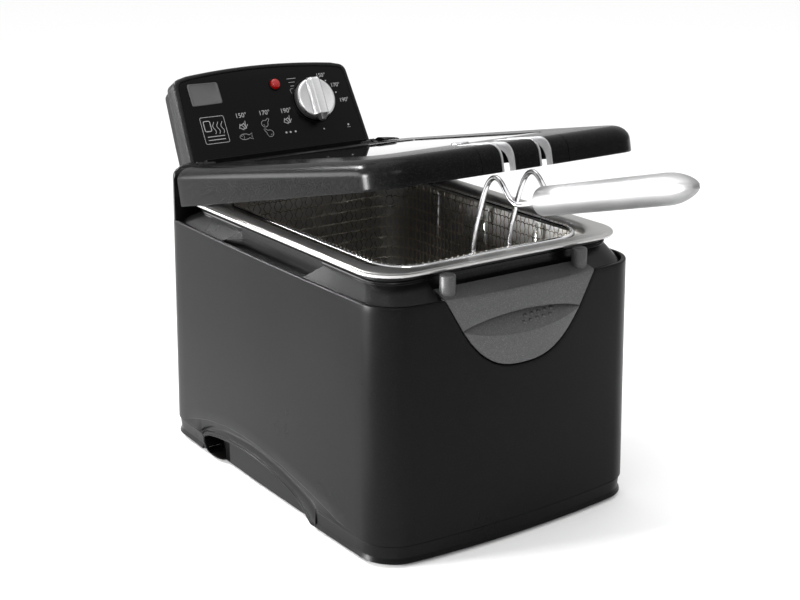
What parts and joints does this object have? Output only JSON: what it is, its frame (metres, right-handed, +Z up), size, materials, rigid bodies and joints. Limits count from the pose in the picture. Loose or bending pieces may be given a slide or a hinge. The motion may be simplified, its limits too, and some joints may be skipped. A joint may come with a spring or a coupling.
{
  "type": "deep fryer",
  "caption": "Household deep fryer with a pressed steel bowl, hinged lid, wire basket with tubular handle, leaning control tower with knob and lamp, and a sprung front lid release.",
  "frame": {"origin": "on the table, in the middle of the whole object's width and of its depth from handle tip to tower", "axes": "+X to the right and +Y to the back as seen from the front, +Z up; the front with the lid release faces -Y"},
  "size_m": [0.262, 0.5922, 0.3256],
  "materials": {
    "casing_black": "glossy with fine metallic flake",
    "tower_grey": "metallic satin",
    "release_grey": "metallic satin",
    "guide_grey": "matte",
    "lid_black": "glossy with fine metallic flake",
    "window_black": "mirror gloss",
    "slot_grey": "satin",
    "bowl_steel": "brushed",
    "sheet_steel": "satin",
    "screw_steel": "satin",
    "spring_steel": "satin",
    "aluminium_plate": "satin",
    "element_sheath": "heat darkened",
    "capillary_copper": "satin",
    "fuse_metal": "bright",
    "chrome_wire": "bright",
    "badge_silver": "bright",
    "knob_silver": "metallic silver",
    "rubber": "matte",
    "lamp_red": "clear red",
    "insulator_cream": "matte",
    "filter_fibre": "fibrous"
  },
  "bodies": {
    "casing": {"housing_shell": "casing_black", "top_frame": "casing_black", "base_pan": "casing_black", "base_screws": "screw_steel", "rubber_feet": "rubber", "side_grip_left": "casing_black", "side_grip_right": "casing_black", "bowl": "bowl_steel", "heat_plate": "aluminium_plate", "heating_element": "element_sheath", "heat_shield": "sheet_steel", "shield_posts": "sheet_steel", "thermal_fuse": "fuse_metal", "thermostat_bulb": "capillary_copper", "capillary_tube": "capillary_copper", "terminal_block": "insulator_cream", "cord_gland": "rubber", "tower_bezel": "tower_grey", "control_fascia": "casing_black", "tower_rear_cover": "casing_black", "tower_screws": "screw_steel", "thermostat_bracket": "sheet_steel", "thermostat": "sheet_steel", "pilot_lamp_body": "insulator_cream", "pilot_lens": "lamp_red", "hinge_pin_left": "sheet_steel", "hinge_pin_right": "sheet_steel", "hinge_spring_left": "spring_steel", "hinge_spring_right": "spring_steel", "lever_guide": "guide_grey", "lever_spring_left": "spring_steel", "lever_spring_right": "spring_steel"},
    "lid": {"lid_shell": "lid_black", "lid_liner": "bowl_steel", "lid_gasket": "rubber", "lid_window": "window_black", "lid_front_cover": "lid_black", "slot_liner_left": "slot_grey", "slot_liner_right": "slot_grey", "lid_badge": "badge_silver", "filter_grille": "lid_black", "filter_pad": "filter_fibre", "lid_hinge_arms": "sheet_steel", "lid_screws": "screw_steel"},
    "basket": {"basket_mesh": "chrome_wire", "basket_ring": "chrome_wire", "basket_support_wires": "chrome_wire", "handle_bracket": "chrome_wire", "handle_wires": "chrome_wire", "handle_tube": "bowl_steel", "handle_collar": "guide_grey"},
    "knob": {"control_knob": "knob_silver", "knob_shaft": "sheet_steel"},
    "release": {"release_lever": "release_grey"}
  },
  "joints": [
    {"name": "lid_hinge", "type": "hinge", "parent": "casing", "child": "lid", "pos_m": [0, 0.21714, 0.247], "axis": [-1, 0, 0], "range_deg": [-13.4, 60]},
    {"name": "basket_lift", "type": "slide", "parent": "casing", "child": "basket", "axis": [0, 0, 1], "range_m": [-0.035, 0]},
    {"name": "thermostat_turn", "type": "hinge", "parent": "casing", "child": "knob", "pos_m": [0.046, 0.24799, 0.28976], "axis": [0, 0.8788, -0.4772], "range_deg": [0, 280]},
    {"name": "release_press", "type": "slide", "parent": "casing", "child": "release", "axis": [0, 1, 0], "range_m": [0, 0.004], "stiffness_N_per_m": 1500, "deforming": ["lever_spring_left", "lever_spring_right"]}
  ]
}
